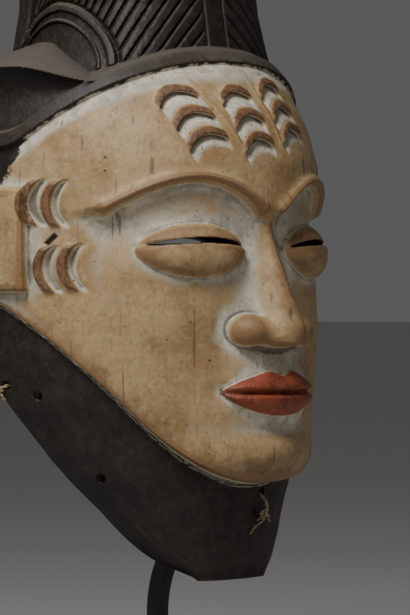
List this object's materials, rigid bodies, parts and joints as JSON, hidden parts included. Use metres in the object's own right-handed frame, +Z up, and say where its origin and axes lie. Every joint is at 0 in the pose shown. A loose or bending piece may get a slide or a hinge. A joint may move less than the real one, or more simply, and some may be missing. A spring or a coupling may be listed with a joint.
{
  "type": "punu mask on a bar stand",
  "caption": "Carved and painted wooden face mask with a ribbed crest, hollow behind, held up by a bent square bar on a flat foot.",
  "frame": {"origin": "middle of the foot's underside", "axes": "+Z up, the face looks along -Y, +X to the right of someone who faces it"},
  "size_m": [0.1922, 0.1495, 0.3915],
  "materials": {
    "painted_wood": "worn white earth paint, black hair and collar, red lips",
    "plant_fibre": "dry twisted fibre",
    "black_steel": "satin black"
  },
  "bodies": {
    "root": {"mask": "painted_wood", "tie_rim": "plant_fibre", "tie_chin": "plant_fibre", "stand_bar": "black_steel", "stand_foot": "black_steel"}
  },
  "joints": []
}
